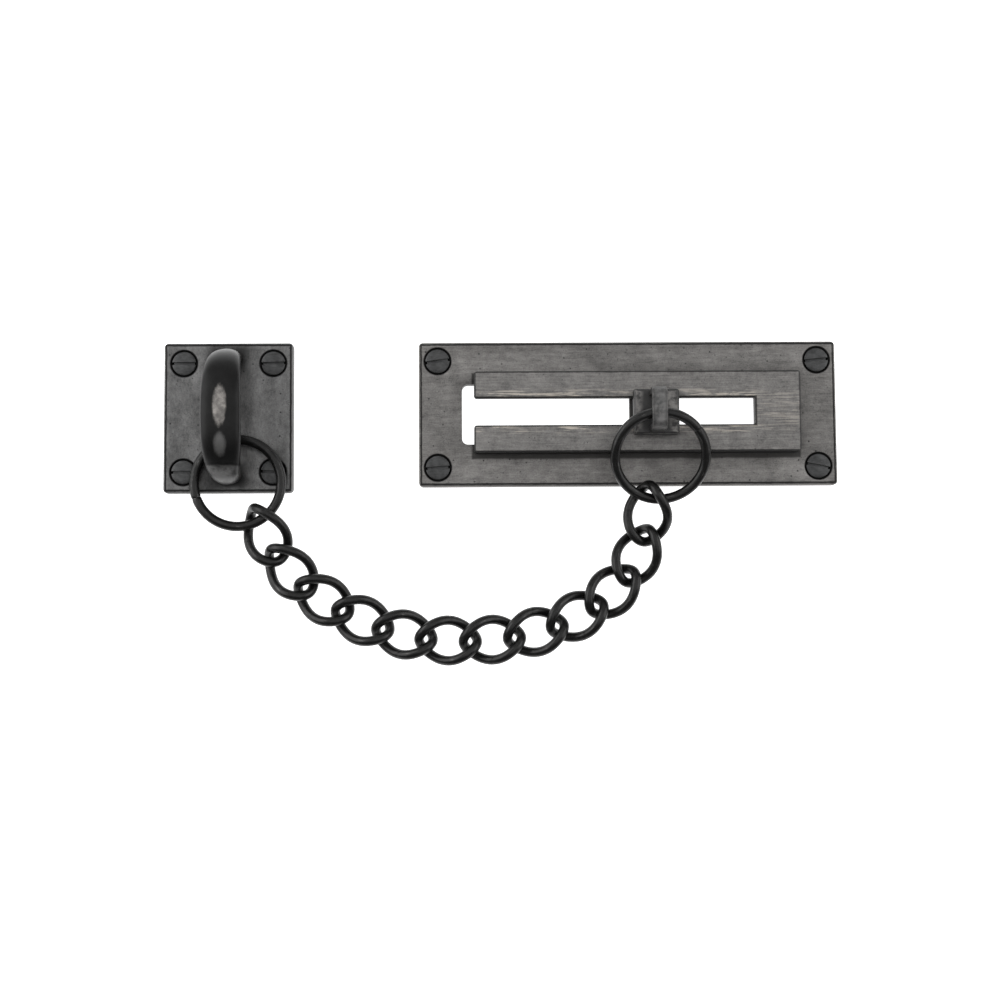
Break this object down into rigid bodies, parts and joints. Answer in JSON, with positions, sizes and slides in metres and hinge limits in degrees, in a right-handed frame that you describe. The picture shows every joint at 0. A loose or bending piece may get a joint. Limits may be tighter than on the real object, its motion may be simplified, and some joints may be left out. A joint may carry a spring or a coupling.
{
  "type": "door chain guard",
  "caption": "Black iron door chain: square jamb plate with a bow and ring, oval-link chain, and a second ring on a slider that runs in a slotted track on a long door plate.",
  "frame": {"origin": "centre of the jamb plate's back face", "axes": "+X along the guard from the jamb plate towards the door plate, +Y up on the door, +Z out of the plates' fronts"},
  "size_m": [0.2057, 0.0988, 0.023],
  "materials": {
    "antique_iron": "brushed and pitted antique grey-black iron, rubbed lighter on its edges",
    "screw_steel": "darkened steel screw heads with file marks",
    "forged_iron": "smooth near-black forged iron, worn bright where it is handled",
    "wire_black": "near-black waxed wire with soft streaks"
  },
  "bodies": {
    "jamb_side": {"jamb_plate": "antique_iron", "staple_bow": "forged_iron", "jamb_screw_1": "screw_steel", "jamb_screw_2": "screw_steel", "jamb_screw_3": "screw_steel", "jamb_screw_4": "screw_steel"},
    "jamb_ring": {"jamb_ring": "wire_black"},
    "link_01": {"link_01": "wire_black"},
    "link_02": {"link_02": "wire_black"},
    "link_03": {"link_03": "wire_black"},
    "link_04": {"link_04": "wire_black"},
    "link_05": {"link_05": "wire_black"},
    "link_06": {"link_06": "wire_black"},
    "link_07": {"link_07": "wire_black"},
    "link_08": {"link_08": "wire_black"},
    "link_09": {"link_09": "wire_black"},
    "link_10": {"link_10": "wire_black"},
    "link_11": {"link_11": "wire_black"},
    "link_12": {"link_12": "wire_black"},
    "slide_ring": {"slide_ring": "wire_black"},
    "slider": {"slider_block": "forged_iron", "slider_foot": "antique_iron"},
    "door_side": {"door_plate": "antique_iron", "track_housing": "antique_iron", "door_screw_1": "screw_steel", "door_screw_2": "screw_steel", "door_screw_3": "screw_steel", "door_screw_4": "screw_steel"}
  },
  "joints": [
    {"name": "jamb_ring_lift", "type": "hinge", "parent": "jamb_side", "child": "jamb_ring", "pos_m": [0.0032, -0.007, 0.0058], "axis": [-1, 0, 0], "range_deg": [0, 120]},
    {"name": "link_01_swing", "type": "hinge", "parent": "jamb_ring", "child": "link_01", "pos_m": [0.01, -0.03152, 0.0058], "axis": [0.8572, 0.515, 0], "range_deg": [-60, 30]},
    {"name": "link_02_swing", "type": "hinge", "parent": "link_01", "child": "link_02", "pos_m": [0.01539, -0.0439, 0.0048], "axis": [-0.7953, -0.4036, 0.4523], "range_deg": [-60, 20]},
    {"name": "link_03_swing", "type": "hinge", "parent": "link_02", "child": "link_03", "pos_m": [0.02483, -0.05357, 0.00458], "axis": [0.6147, 0.5661, -0.5493], "range_deg": [-20, 60]},
    {"name": "link_04_swing", "type": "hinge", "parent": "link_03", "child": "link_04", "pos_m": [0.03653, -0.06029, 0.0043], "axis": [-0.3998, -0.6579, 0.6381], "range_deg": [-50, 30]},
    {"name": "link_05_swing", "type": "hinge", "parent": "link_04", "child": "link_05", "pos_m": [0.04886, -0.06558, 0.00401], "axis": [0.2735, 0.6387, -0.7192], "range_deg": [-35, 60]},
    {"name": "link_06_swing", "type": "hinge", "parent": "link_05", "child": "link_06", "pos_m": [0.06204, -0.06826, 0.00402], "axis": [-0.1572, -0.6766, 0.7193], "range_deg": [-60, 35]},
    {"name": "link_07_swing", "type": "hinge", "parent": "link_06", "child": "link_07", "pos_m": [0.07547, -0.06862, 0.00402], "axis": [0.0377, 0.6936, -0.7193], "range_deg": [-40, 60]},
    {"name": "link_08_swing", "type": "hinge", "parent": "link_07", "child": "link_08", "pos_m": [0.08882, -0.06727, 0.00402], "axis": [0.0555, -0.6924, 0.7193], "range_deg": [-60, 35]},
    {"name": "link_09_swing", "type": "hinge", "parent": "link_08", "child": "link_09", "pos_m": [0.10172, -0.06349, 0.00403], "axis": [-0.1764, 0.6719, -0.7193], "range_deg": [-35, 60]},
    {"name": "link_10_swing", "type": "hinge", "parent": "link_09", "child": "link_10", "pos_m": [0.11363, -0.05724, 0.00414], "axis": [0.2994, -0.6268, 0.7193], "range_deg": [-60, 20]},
    {"name": "link_11_swing", "type": "hinge", "parent": "link_10", "child": "link_11", "pos_m": [0.12301, -0.04753, 0.00446], "axis": [-0.4098, 0.4597, -0.7878], "range_deg": [-15, 60]},
    {"name": "link_12_swing", "type": "hinge", "parent": "link_11", "child": "link_12", "pos_m": [0.12768, -0.03478, 0.00509], "axis": [0.4707, -0.246, 0.8473], "range_deg": [-55, 30]},
    {"name": "slide_ring_swing", "type": "hinge", "parent": "link_12", "child": "slide_ring", "pos_m": [0.12744, -0.02563, 0.00813], "axis": [0.9703, -0.221, -0.0984], "range_deg": [-30, 30]},
    {"name": "slider_tilt", "type": "hinge", "parent": "slide_ring", "child": "slider", "pos_m": [0.1298, -0.001, 0.0191], "axis": [1, 0, 0], "range_deg": [0, 100]},
    {"name": "track_slide", "type": "slide", "parent": "slider", "child": "door_side", "axis": [1, 0, 0], "range_m": [-0.026, 0.062]}
  ]
}
